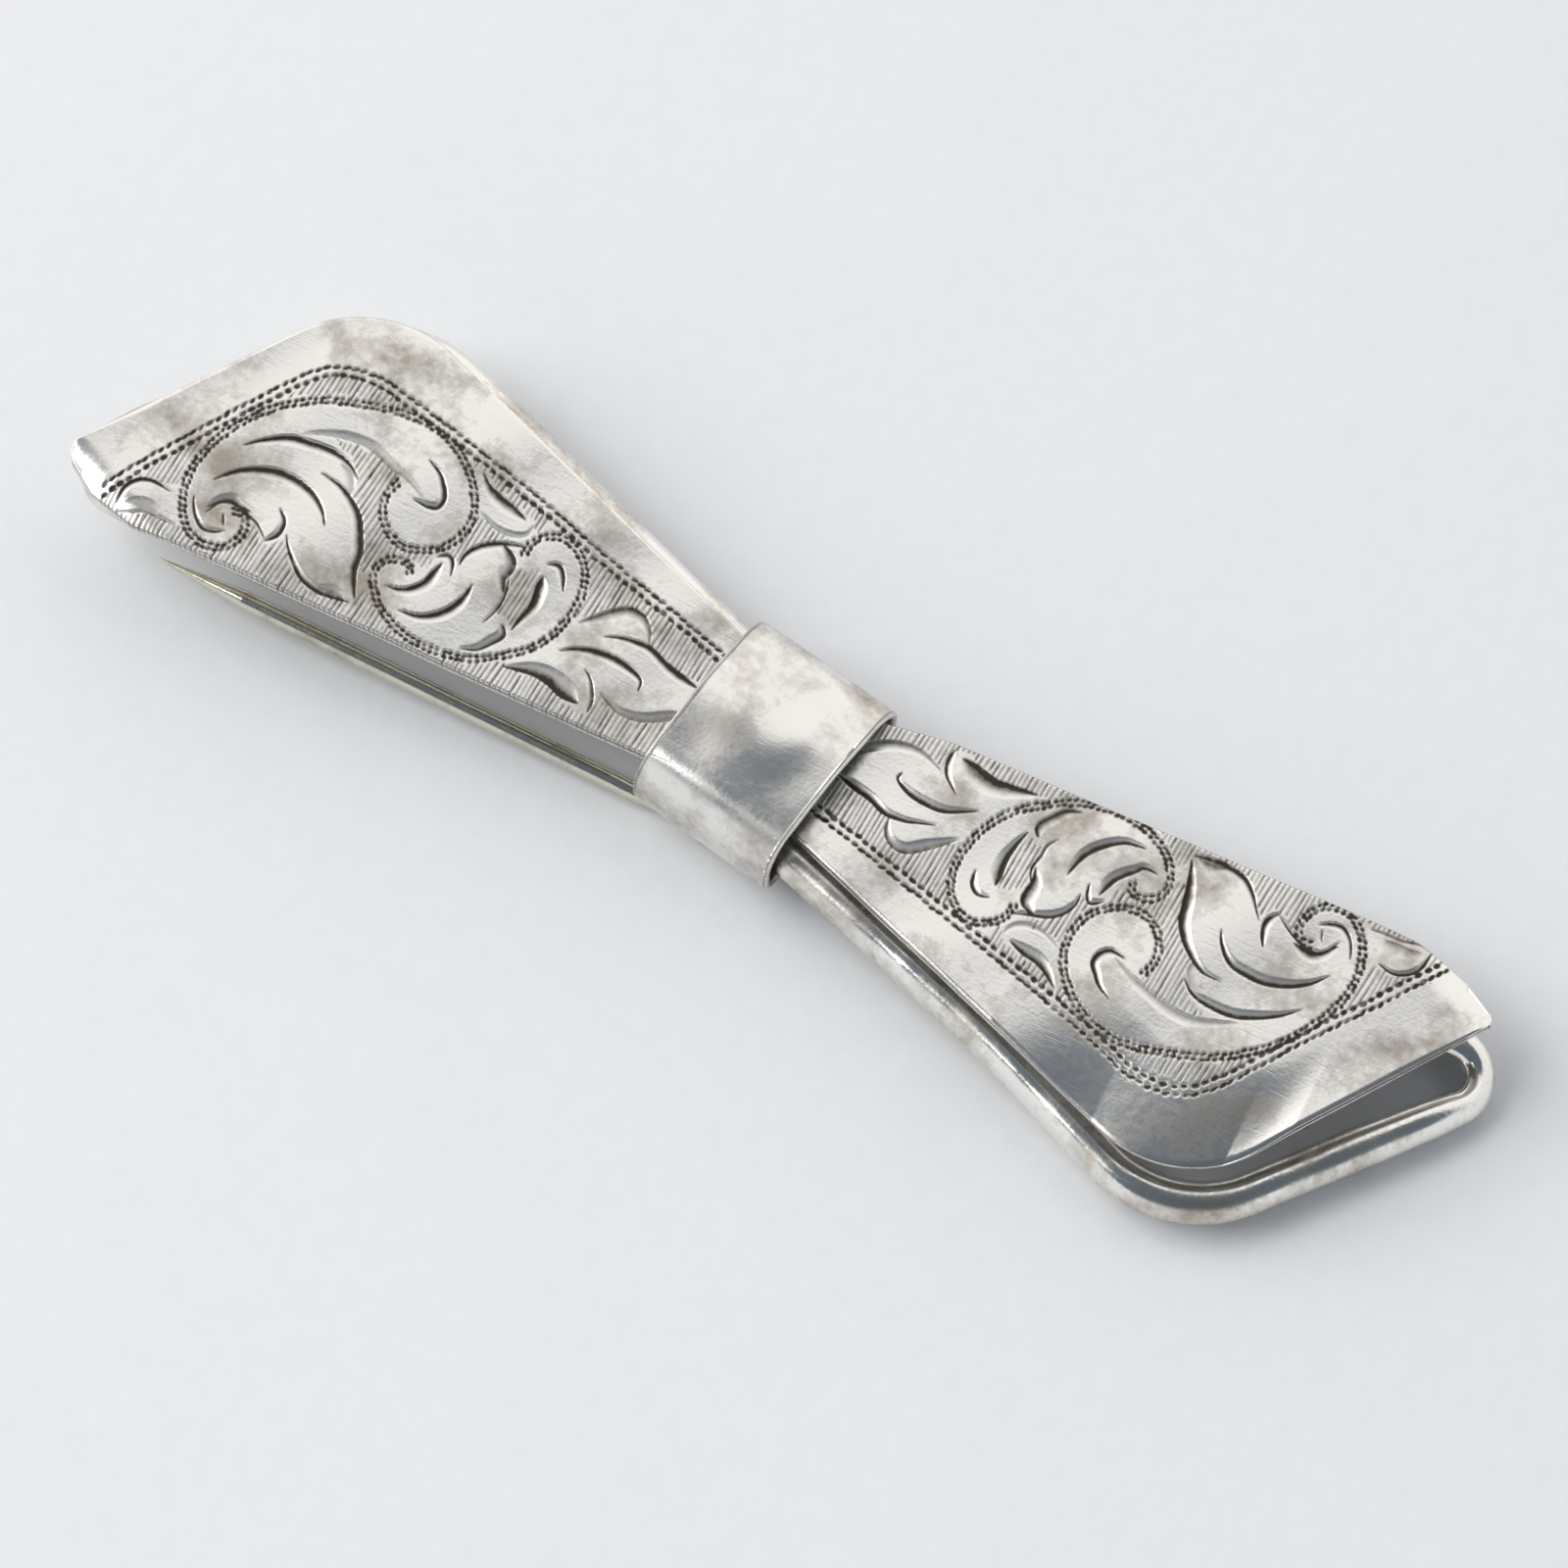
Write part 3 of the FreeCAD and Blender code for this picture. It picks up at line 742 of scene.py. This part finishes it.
# The joint and studs under the knot and leaves: their dark colour is painted shade.
shaded_small_metal = old_metal("dark_silver", (0.30, 0.28, 0.25), (0.10, 0.085, 0.07), 700.0, 0.62,
                       2.0, gloss=0.35, dull=0.55, grain=0.3)

# %% [markdown]
# ## Turning rows of points into a mesh
#
# Sheet and wire pieces are all grids: rows of points joined by four-sided faces. One helper
# writes the grid straight into the mesh from arrays, because a fine relief has far too many
# points for one-by-one calls.

# %% Grid mesh helper
def grid_faces(rows, columns, first=0, close_rows=False, close_columns=False):
    """Four-sided faces between neighbouring points of a grid stored row by row."""
    r = np.arange(rows if close_rows else rows - 1)
    c = np.arange(columns if close_columns else columns - 1)
    row, column = np.meshgrid(r, c, indexing="ij")
    here, ahead = row * columns, (row + 1) % rows * columns
    beyond = (column + 1) % columns
    quads = np.stack([here + column, here + beyond, ahead + beyond, ahead + column], -1)
    return quads.reshape(-1, 4) + first


def mesh_piece(name, points_mm, quads, material, body, replaced, ngons=(), patina_and_shade=None):
    """Writes arrays into a mesh, sets it on its body, and hides the part it stands for."""
    mesh = bpy.data.meshes.new(name)
    points = np.asarray(points_mm, float) * MM
    loops = np.concatenate([quads.ravel()] + [np.asarray(g) for g in ngons]).astype(np.int32)
    sizes = np.concatenate([np.full(len(quads), 4), [len(g) for g in ngons]]).astype(np.int32)
    starts = np.concatenate([[0], np.cumsum(sizes)[:-1]]).astype(np.int32)
    mesh.vertices.add(len(points))
    mesh.vertices.foreach_set("co", points.astype(np.float32).ravel())
    mesh.loops.add(len(loops))
    mesh.loops.foreach_set("vertex_index", loops)
    mesh.polygons.add(len(sizes))
    mesh.polygons.foreach_set("loop_start", starts)
    mesh.polygons.foreach_set("loop_total", sizes)
    mesh.update(calc_edges=True)
    mesh.validate()
    # The per-point black of the cuts, tarnish and painted shade, goes to the material.
    if patina_and_shade is not None:
        layer = mesh.attributes.new("patina_and_shade", "FLOAT", "POINT")
        layer.data.foreach_set("value", np.asarray(patina_and_shade, np.float32))
    mesh.shade_smooth()
    mesh.materials.append(material)
    piece = bpy.data.objects.new(name, mesh)
    bpy.context.scene.collection.objects.link(piece)
    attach(piece, body)
    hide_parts(replaced)
    print(name, "has", len(points), "points and", len(sizes), "faces")
    return piece


# %% [markdown]
# ## The leaves
#
# A leaf was sawn from half-millimetre sheet, engraved flat, and then its clipped end was hammered
# down to a short lip, so that it doesn't catch in the cloth. The mesh follows that order. Columns
# of points run across the leaf, close together where the ornament is and wide apart in the plain
# margin, then every point is pressed to the depth of the plate and the lip is bent. The right
# leaf has a narrower neck, so that it clears the knot's mouth when it springs up.

# %% Leaf sizes and places
LEAF_T = 0.5
LEAF_SHIFT = (-0.75, 0.50)
LEAF_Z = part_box("face_leaf_right")[0][2] / MM
HINGE_Z = frame["joints"][0]["pos_m"][2] / MM
RISE = {"left": 0.7, "right": 2.6}
TIP = (35.45, 1.70)
ABOVE_TIP = [((30.85, 3.75), 2.5), ((33.35, 3.05), 1.2)]
BELOW_TIP = [((25.9, -12.2), 5.8), ((2.0, -3.5), 3.0)]
TIP_ROUND = {"left": 0.9, "right": 0.5}
NECK = {"left": (3.35, []), "right": (2.95, [((4.6, 2.95), 1.5), ((7.6, 3.43), 4.0)])}
LIP_FROM, LIP_TO = np.array((30.85, 3.75)), np.array(TIP)
LIP_W, LIP_R = 1.1, 2.3
ROLL = {"left": 0.10, "right": 0.55}
EDGE_R = 0.07
print("leaf underside at", round(LEAF_Z, 3), "mm, hinge at", round(HINGE_Z, 3))


def height_along(line):
    """The line's y as a function of x."""
    return lambda x: np.interp(x, line[:, 0], line[:, 1])


def leaf_edges(root_x, wing):
    """Upper and lower edge of the leaf as functions of x, and the x of its tip."""
    neck_y, shoulders = NECK[wing]
    upper = [((root_x, neck_y), 0)] + shoulders + ABOVE_TIP
    lower = BELOW_TIP + [((root_x, -3.5), 0)]
    line = rounded(upper + [(TIP, TIP_ROUND[wing])] + lower, closed=False, step=0.03)
    tip = int(np.argmax(line[:, 0]))
    top, low = line[:tip + 1], line[tip:][::-1]
    return height_along(top), height_along(low), line[tip, 0]


def bend(x, y, low_edge, roll):
    """Height change of the sheet: bent lip, rolled-off margin and soft waves."""
    along = (LIP_TO - LIP_FROM) / np.linalg.norm(LIP_TO - LIP_FROM)
    out = np.array((-along[1], along[0]))
    d = (x - LIP_TO[0]) * out[0] + (y - LIP_TO[1]) * out[1] + LIP_W
    d = np.clip(d, 0, LIP_R * 0.95)
    z = np.sqrt(LIP_R**2 - d**2) - LIP_R
    margin = np.clip(1 - (y - low_edge(x)) * 0.85 / 4.4, 0, 1)
    out_there = np.clip((x - 15.0) / 6.0, 0, 1) * np.clip((29.4 - x) / 2.2, 0, 1)
    z = z - roll * margin**1.5 * out_there
    waves = 0.05 * np.sin(x * 0.32 + 0.8) * np.cos(y * 0.25)
    return z + waves + 0.02 * np.sin(x * 0.9 - y * 0.6)


# %% [markdown]
# The rows across a leaf run from its lower edge to its upper one. The plain margin below the
# border gets a few wide steps and the engraved field many fine ones. The split between the two
# follows the border line.

# %% Rows of points across a leaf
LENGTHWISE = 588
FINE_STEPS, WIDE_STEPS = 136, 14
UNDER_STEPS = 7


def leaf_rows(wing, xs, top, low):
    """Places of the leaf's top points across it, one row for each x."""
    border = flowing(BORDERS[wing], 0.05)
    lowest = np.maximum.accumulate(border[:, 0])
    split = np.interp(xs, lowest, border[:, 1]) - 0.35
    split = np.clip(split, low(xs) + 0.25, top(xs) - 0.05)
    split = np.where(top(xs) - low(xs) < 1.0, (top(xs) + low(xs)) / 2, split)
    edge = np.minimum(EDGE_R, (top(xs) - low(xs)) * 0.1)
    fine = np.linspace(0, 1, FINE_STEPS)
    wide = np.linspace(0, 1, WIDE_STEPS)[:-1]
    inner_low = (low(xs) + edge)[:, None]
    inner_top = (top(xs) - edge)[:, None]
    margin = inner_low + (split[:, None] - inner_low) * wide
    engraved = split[:, None] + (inner_top - split[:, None]) * fine
    return np.hstack([low(xs)[:, None], margin, engraved, top(xs)[:, None]]), edge


def closed_faces(count, columns):
    """Faces of the top, the underside and both long edges; the two ends as single faces."""
    n_top = count * columns
    i = np.arange(count - 1)
    here, ahead = i * columns, (i + 1) * columns
    below_here, below_ahead = n_top + i * UNDER_STEPS, n_top + (i + 1) * UNDER_STEPS
    last, below_last = columns - 1, UNDER_STEPS - 1
    quads = [
        grid_faces(count, columns)[:, ::-1],
        grid_faces(count, UNDER_STEPS, n_top),
        np.stack([here, ahead, below_ahead, below_here], -1),
        np.stack([ahead + last, here + last, below_here + below_last, below_ahead + below_last], -1),
    ]
    root = list(range(columns)) + [n_top + k for k in range(below_last, -1, -1)]
    end_top = [(count - 1) * columns + k for k in range(columns)]
    end_under = [n_top + (count - 1) * UNDER_STEPS + k for k in range(UNDER_STEPS)]
    return np.vstack(quads), (root, end_top[::-1] + end_under)


print("points in one row:", FINE_STEPS + WIDE_STEPS + 1)

# %% [markdown]
# Now the plate meets the leaf. Each top point is lowered by the plate's depth at its place, and
# keeps the black there for the material, tarnish and painted shade together. The underside follows
# the bend more gently and stays smooth, and takes a share of that black. The left leaf is the right
# one turned half round, and each is raised by its own angle about the hinge line inside the knot.

# %% Build both leaves
UNDER_ROLL = 0.35
# The underside takes this share of the cut black, so it is a little darker.
UNDERSIDE_BLACK = 0.25


def leaf_piece(wing, seed):
    sign = 1 if wing == "right" else -1
    root_x = 0.05 - sign * LEAF_SHIFT[0]
    top, low, tip_x = leaf_edges(root_x, wing)
    neck = np.linspace(root_x, 3.0, 8, endpoint=False)
    xs = np.concatenate([neck, np.linspace(3.0, tip_x - 0.01, LENGTHWISE)])
    y, edge = leaf_rows(wing, xs, top, low)
    x = np.repeat(xs[:, None], y.shape[1], axis=1)
    relief, patina_and_shade = engraved_plate(wing, seed)
    depth = read_plate(relief, x, y)
    tone = read_plate(patina_and_shade, x, y)
    shape = bend(x, y, low, ROLL[wing])
    z = LEAF_T + shape + depth
    z[:, [0, -1]] = LEAF_T + shape[:, [0, -1]] - edge[:, None]
    top_points = np.stack([x, y, z], -1).reshape(-1, 3)
    across = np.linspace(0, 1, UNDER_STEPS)[None, :]
    ux = np.repeat(xs[:, None], UNDER_STEPS, axis=1)
    uy = low(xs)[:, None] + (top(xs) - low(xs))[:, None] * across
    under = np.stack([ux, uy, bend(ux, uy, low, ROLL[wing] * UNDER_ROLL)], -1).reshape(-1, 3)
    quads, ends = closed_faces(len(xs), y.shape[1])
    points = np.vstack([top_points, under])
    tone = np.concatenate([tone.ravel(), np.full(len(under), UNDERSIDE_BLACK)])
    points[:, 0] = points[:, 0] * sign + LEAF_SHIFT[0]
    points[:, 1] = points[:, 1] * sign + LEAF_SHIFT[1]
    points[:, 2] += LEAF_Z - HINGE_Z
    angle = math.radians(RISE[wing]) * sign
    px, pz = points[:, 0].copy(), points[:, 2].copy()
    points[:, 0] = px * math.cos(angle) - pz * math.sin(angle)
    points[:, 2] = px * math.sin(angle) + pz * math.cos(angle) + HINGE_Z
    return mesh_piece("engraved_leaf_" + wing, points, quads, leaf_silver, "leaf_" + wing,
                      "face_leaf_" + wing, ngons=ends, patina_and_shade=tone)


leaf_piece("left", 11)
leaf_piece("right", 29)

# %% [markdown]
# ## The wire frame
#
# The frame is one closed loop of round wire, bent by hand round two wide ends. Hammering drew it
# thinner at the two pointed corners. It is swept here as rings along the path. Each ring takes
# its radius from how near the corner it is, and small dents keep it from looking drawn by a
# machine.

# %% Sweep the wire
WIRE_R = 1.0
WIRE_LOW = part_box("wire_frame")[0][2] / MM
WIRE_STEP = 0.16
MOUTH, HUMP = (2.75, -3.93), (25.32, -12.28)
THIN_AT_TIP = 0.30
TIPS = np.array([(35.9, 0.6), (-35.9, -0.6)])


def half_wire(bow):
    """One half of the loop; `bow` is how far its long front run is bent inward."""
    mouth, hump = np.array(MOUTH), np.array(HUMP)
    run = (hump - mouth) / np.linalg.norm(hump - mouth)
    middle = (mouth + hump) / 2 + np.array((-run[1], run[0])) * bow
    corners = [((0.0, -3.15), 0), (MOUTH, 6.0), (tuple(middle), 60.0), (HUMP, 5.6),
               ((36.99, 1.70), 1.7), ((4.2, 1.40), 5.0), ((0.0, 3.15), 0)]
    return rounded(corners, closed=False, step=WIRE_STEP)


def swept(path, radius, sides):
    """Rings of a round wire along a closed flat path, and the angles round a ring."""
    tangent = directions(path, closed=True)
    side = np.stack([-tangent[:, 1], tangent[:, 0], np.zeros(len(path))], 1)
    angle = np.linspace(0, 2 * math.pi, sides, endpoint=False)
    up = np.array((0.0, 0.0, 1.0))
    level = np.cos(angle)[None, :, None] * radius[:, None, None]
    height = np.sin(angle)[None, :, None] * radius[:, None, None]
    return path[:, None, :] + side[:, None, :] * level + up * height, angle


print("wire radius", WIRE_R, "mm, at its tips", round(WIRE_R - THIN_AT_TIP, 2))

# %% [markdown]
# The right half is bowed inward a little more than the left, as a hand bends it. The dents are
# small hollows scattered over the wire. Each one pushes the nearby points toward the centre line.

# %% Dent and place the wire
RING_SIDES = 28
DENT_COUNT = 60


def wire_piece():
    right_half = half_wire(0.50)
    left_half = -half_wire(0.05)
    flat = np.vstack([right_half[:-1], left_half[:-1]])
    near = np.min(np.linalg.norm(flat[:, None, :] - TIPS[None], axis=2), axis=1)
    radius = WIRE_R - THIN_AT_TIP * np.exp(-(near / 3.0) ** 2)
    run = np.arange(len(flat)) * WIRE_STEP
    radius = radius + 0.012 * np.sin(run * 1.3) + 0.010 * np.sin(run * 0.47 + 1.0)
    radius = np.minimum(radius, WIRE_R)
    path = np.column_stack([flat, WIRE_LOW + radius])
    rings, angle = swept(path, radius, RING_SIDES)
    rng = np.random.default_rng(5)
    dents = [(rng.uniform(0, len(flat)), rng.uniform(0, 2 * math.pi), rng.uniform(2, 7),
              rng.uniform(0.01, 0.03)) for k in range(DENT_COUNT)]
    station = np.arange(len(flat))[:, None]
    centre = path[:, None, :]
    push = np.zeros(rings.shape[:2])
    for at, turn_at, size, depth in dents:
        gap = np.angle(np.exp(1j * (angle[None, :] - turn_at)))
        push += depth * np.exp(-((station - at) / size) ** 2 - (gap / 0.35) ** 2)
    rings = rings - (rings - centre) * push[..., None]
    stations, sides = rings.shape[:2]
    quads = grid_faces(stations, sides, close_rows=True, close_columns=True)
    return mesh_piece("bent_wire_frame", rings.reshape(-1, 3), quads, wire_silver, "clip_base",
                      "wire_frame")


wire_piece()

# %% [markdown]
# ## The knot
#
# The knot is a strip of thin sheet wrapped round the waist and soldered behind. Pressing it round
# the wires left it domed and a little dented, and its two rims are worn round. The strip's
# section runs over the outside, round the rim, and back along the inside, so that the sheet has a
# real thickness at both mouths.

# %% Wrap the knot band
BAND_T = 0.35
BAND_TURN = math.radians(-11.0)
BAND_FROM, BAND_TO = -4.7, 3.0
BAND_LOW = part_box("knot_band")[0][2] / MM
BAND_HALF_W = 5.0
DENTS = [(-1.2, 1.6, 1.5, 0.10), (1.4, -1.2, 1.3, 0.10), (-3.2, -2.4, 1.2, 0.06),
         (0.2, 3.6, 0.9, 0.06), (-2.4, 0.2, 1.0, -0.05), (0.8, 0.9, 0.8, -0.04)]
LEFT_MOUTH_DROP = 0.13


def band_loop():
    """The band's outside outline across the waist, as (side, height)."""
    w, low = BAND_HALF_W, BAND_LOW
    corners = [((-w, low), 0.9), ((w, low), 0.9), ((w, low + 3.95), 2.1),
               ((0.0, low + 4.68), 11.0), ((-w, low + 3.95), 2.1)]
    line = rounded(corners, closed=True, step=0.11)
    return line[:-1]


def band_section():
    """(place along the band, depth under the outside) round the strip's own thin section."""
    outer = [(t, 0.0) for t in np.linspace(BAND_FROM + 0.16, BAND_TO - 0.16, 70)]
    turn_angle = np.linspace(math.pi / 2, -math.pi / 2, 7)
    half = BAND_T / 2
    rim = [(half * math.cos(a), half * math.sin(a)) for a in turn_angle]
    right_rim = [(BAND_TO - half + c, half - s) for c, s in rim]
    inner = [(t, BAND_T) for t in np.linspace(BAND_TO - 0.2, BAND_FROM + 0.2, 12)]
    left_rim = [(BAND_FROM + half - c, half + s) for c, s in rim]
    return outer + right_rim + inner + left_rim


print("band section has", len(band_section()), "points")

# %% [markdown]
# Each point of the section is one line round the waist, at its own depth under the outside. The
# dents are written as place along the band, side, size and depth, and a negative depth is a bump.
# They work on the upper half only, because the underside was pressed flat on the bench.

# %% Dent and place the band
def band_piece():
    loop = band_loop()
    tangent = directions(loop, closed=True)
    outward = np.stack([tangent[:, 1], -tangent[:, 0]], 1)
    above = np.clip((loop[:, 1] - BAND_LOW - 1.5) / 2.5, 0, 1)
    rows = []
    for t, under in band_section():
        line = loop - outward * under
        middle = (t - (BAND_FROM + BAND_TO) / 2) / ((BAND_TO - BAND_FROM) / 2)
        drop = LEFT_MOUTH_DROP * middle**2 if middle < 0 else 0.0
        for at, side, size, depth in DENTS:
            away = -((t - at) / size) ** 2 - ((loop[:, 0] - side) / size) ** 2
            drop = drop + depth * np.exp(away)
        line = line - outward * (drop * above)[:, None]
        rows.append(np.column_stack([np.full(len(line), t), line]))
    points = np.array(rows)
    c, s = math.cos(BAND_TURN), math.sin(BAND_TURN)
    x = points[..., 0] * c - points[..., 1] * s
    y = points[..., 0] * s + points[..., 1] * c
    points = np.stack([x, y, points[..., 2]], -1)
    count, around = points.shape[:2]
    quads = grid_faces(count, around, close_rows=True, close_columns=True)
    return mesh_piece("wrapped_knot", points.reshape(-1, 3), quads, knot_silver, "clip_base",
                      "knot_band")


band_piece()

# %% [markdown]
# ## The small parts
#
# The pin, its rivet, the forked joint and the two studs are turned and filed parts with a true
# shape already, so they keep their construction meshes and only take a finish.

# %% Finishes for the small parts
# The dark finish of the joint and studs is painted shade under the knot and leaves.
FINISHES = {"pin_stem": pin_metal, "joint_rivet": pin_metal, "pin_joint": shaded_small_metal,
            "grip_stud_left": shaded_small_metal, "grip_stud_right": shaded_small_metal}
for name, material in FINISHES.items():
    part = frame["nodes"][name]
    part.data.materials.clear()
    part.data.materials.append(material)
    print(name, "takes", material.name)

# %% [markdown]
# ## Paper and light
#
# Polished silver shows its surroundings more than itself. The paper is pale and slightly blue. A
# large soft window stands behind on the left, the room in front is dimmer, and the dark patch
# overhead in front is what the lower slopes of the knot and the bent corner of the open leaf
# reflect.

# %% Paper
def paper_material():
    material, tree, shader = new_material("pale_paper")
    place = node(tree, "ShaderNodeTexCoord").outputs["Object"]
    fibres = node(tree, "ShaderNodeTexNoise", Vector=place, Scale=900.0, Detail=4.0).outputs["Fac"]
    colour = blend_colour(tree, fibres, (0.738, 0.748, 0.768), (0.778, 0.788, 0.803))
    bump = node(tree, "ShaderNodeBump", Height=fibres, Strength=0.25, Distance=0.0001)
    feed(tree, shader, Base_Color=colour, Roughness=0.9, Specular_IOR_Level=0.1,
         Normal=bump.outputs["Normal"])
    return material


PAPER_HALF = 1000.0
corners = []
for side_x, side_y in ((-1, -1), (1, -1), (1, 1), (-1, 1)):
    x, y = side_x * PAPER_HALF, side_y * PAPER_HALF
    corners.append((x * MM, y * MM, (x - PAPER_TOUCH_X) * math.tan(LEAN) * MM))
paper_mesh = bpy.data.meshes.new("paper")
paper_mesh.from_pydata(corners, [], [(0, 1, 2, 3)])
paper_mesh.materials.append(paper_material())
paper = bpy.data.objects.new("paper", paper_mesh)
bpy.context.scene.collection.objects.link(paper)
print("paper leans by", round(math.degrees(LEAN), 1), "degrees")

# %% [markdown]
# The room is a world colour that depends on direction only: brighter behind, dimmer in front, and
# dark close round the viewer. The window is one large area lamp, which gives the paper its soft
# shadow and the metal its long highlights.

# %% Room and window
def room_light():
    """World colour by direction."""
    world = bpy.data.worlds.new("room")
    bpy.context.scene.world = world
    world.use_nodes = True
    tree = world.node_tree
    background = tree.nodes["Background"]
    direction = node(tree, "ShaderNodeTexCoord").outputs["Generated"]

    def facing(axis, low, high):
        """1 where the direction is near the axis, 0 where it is far from it."""
        dot = node(tree, "ShaderNodeVectorMath", {"operation": "DOT_PRODUCT"})
        put(tree, dot.inputs[0], direction)
        put(tree, dot.inputs[1], tuple(axis))
        ramp = node(tree, "ShaderNodeMapRange", {"interpolation_type": "SMOOTHSTEP"},
                    Value=dot.outputs["Value"], From_Min=low, From_Max=high)
        return ramp.outputs["Result"]

    behind = facing(back_h - view_r * 0.35, -0.45, 0.75)
    colour = blend_colour(tree, behind, (0.74, 0.76, 0.79), (1.0, 0.985, 0.96))
    viewer = facing(view_n, 0.70, 0.77)
    colour = blend_colour(tree, viewer, colour, (0.10, 0.125, 0.155))
    feed(tree, background, Color=colour, Strength=1.08)


def window_light(name, direction, distance, size, watts, colour):
    """A square area lamp that faces the clip."""
    data = bpy.data.lights.new(name, "AREA")
    data.shape = "RECTANGLE"
    data.size = size
    data.size_y = size
    data.energy = watts
    data.color = colour
    lamp = bpy.data.objects.new(name, data)
    bpy.context.scene.collection.objects.link(lamp)
    away = direction.normalized()
    lamp.location = away * distance
    lamp.rotation_euler = away.to_track_quat("Z", "Y").to_euler()
    return lamp


room_light()
from_window = back_h * 0.25 - view_r * 0.85 + paper_up * 0.75
lamp = window_light("window", from_window, 0.9, 0.8, 7.0, (1.0, 0.99, 0.97))
bpy.context.scene.view_settings.view_transform = "Standard"
print("window stands at", [round(c, 2) for c in lamp.location])
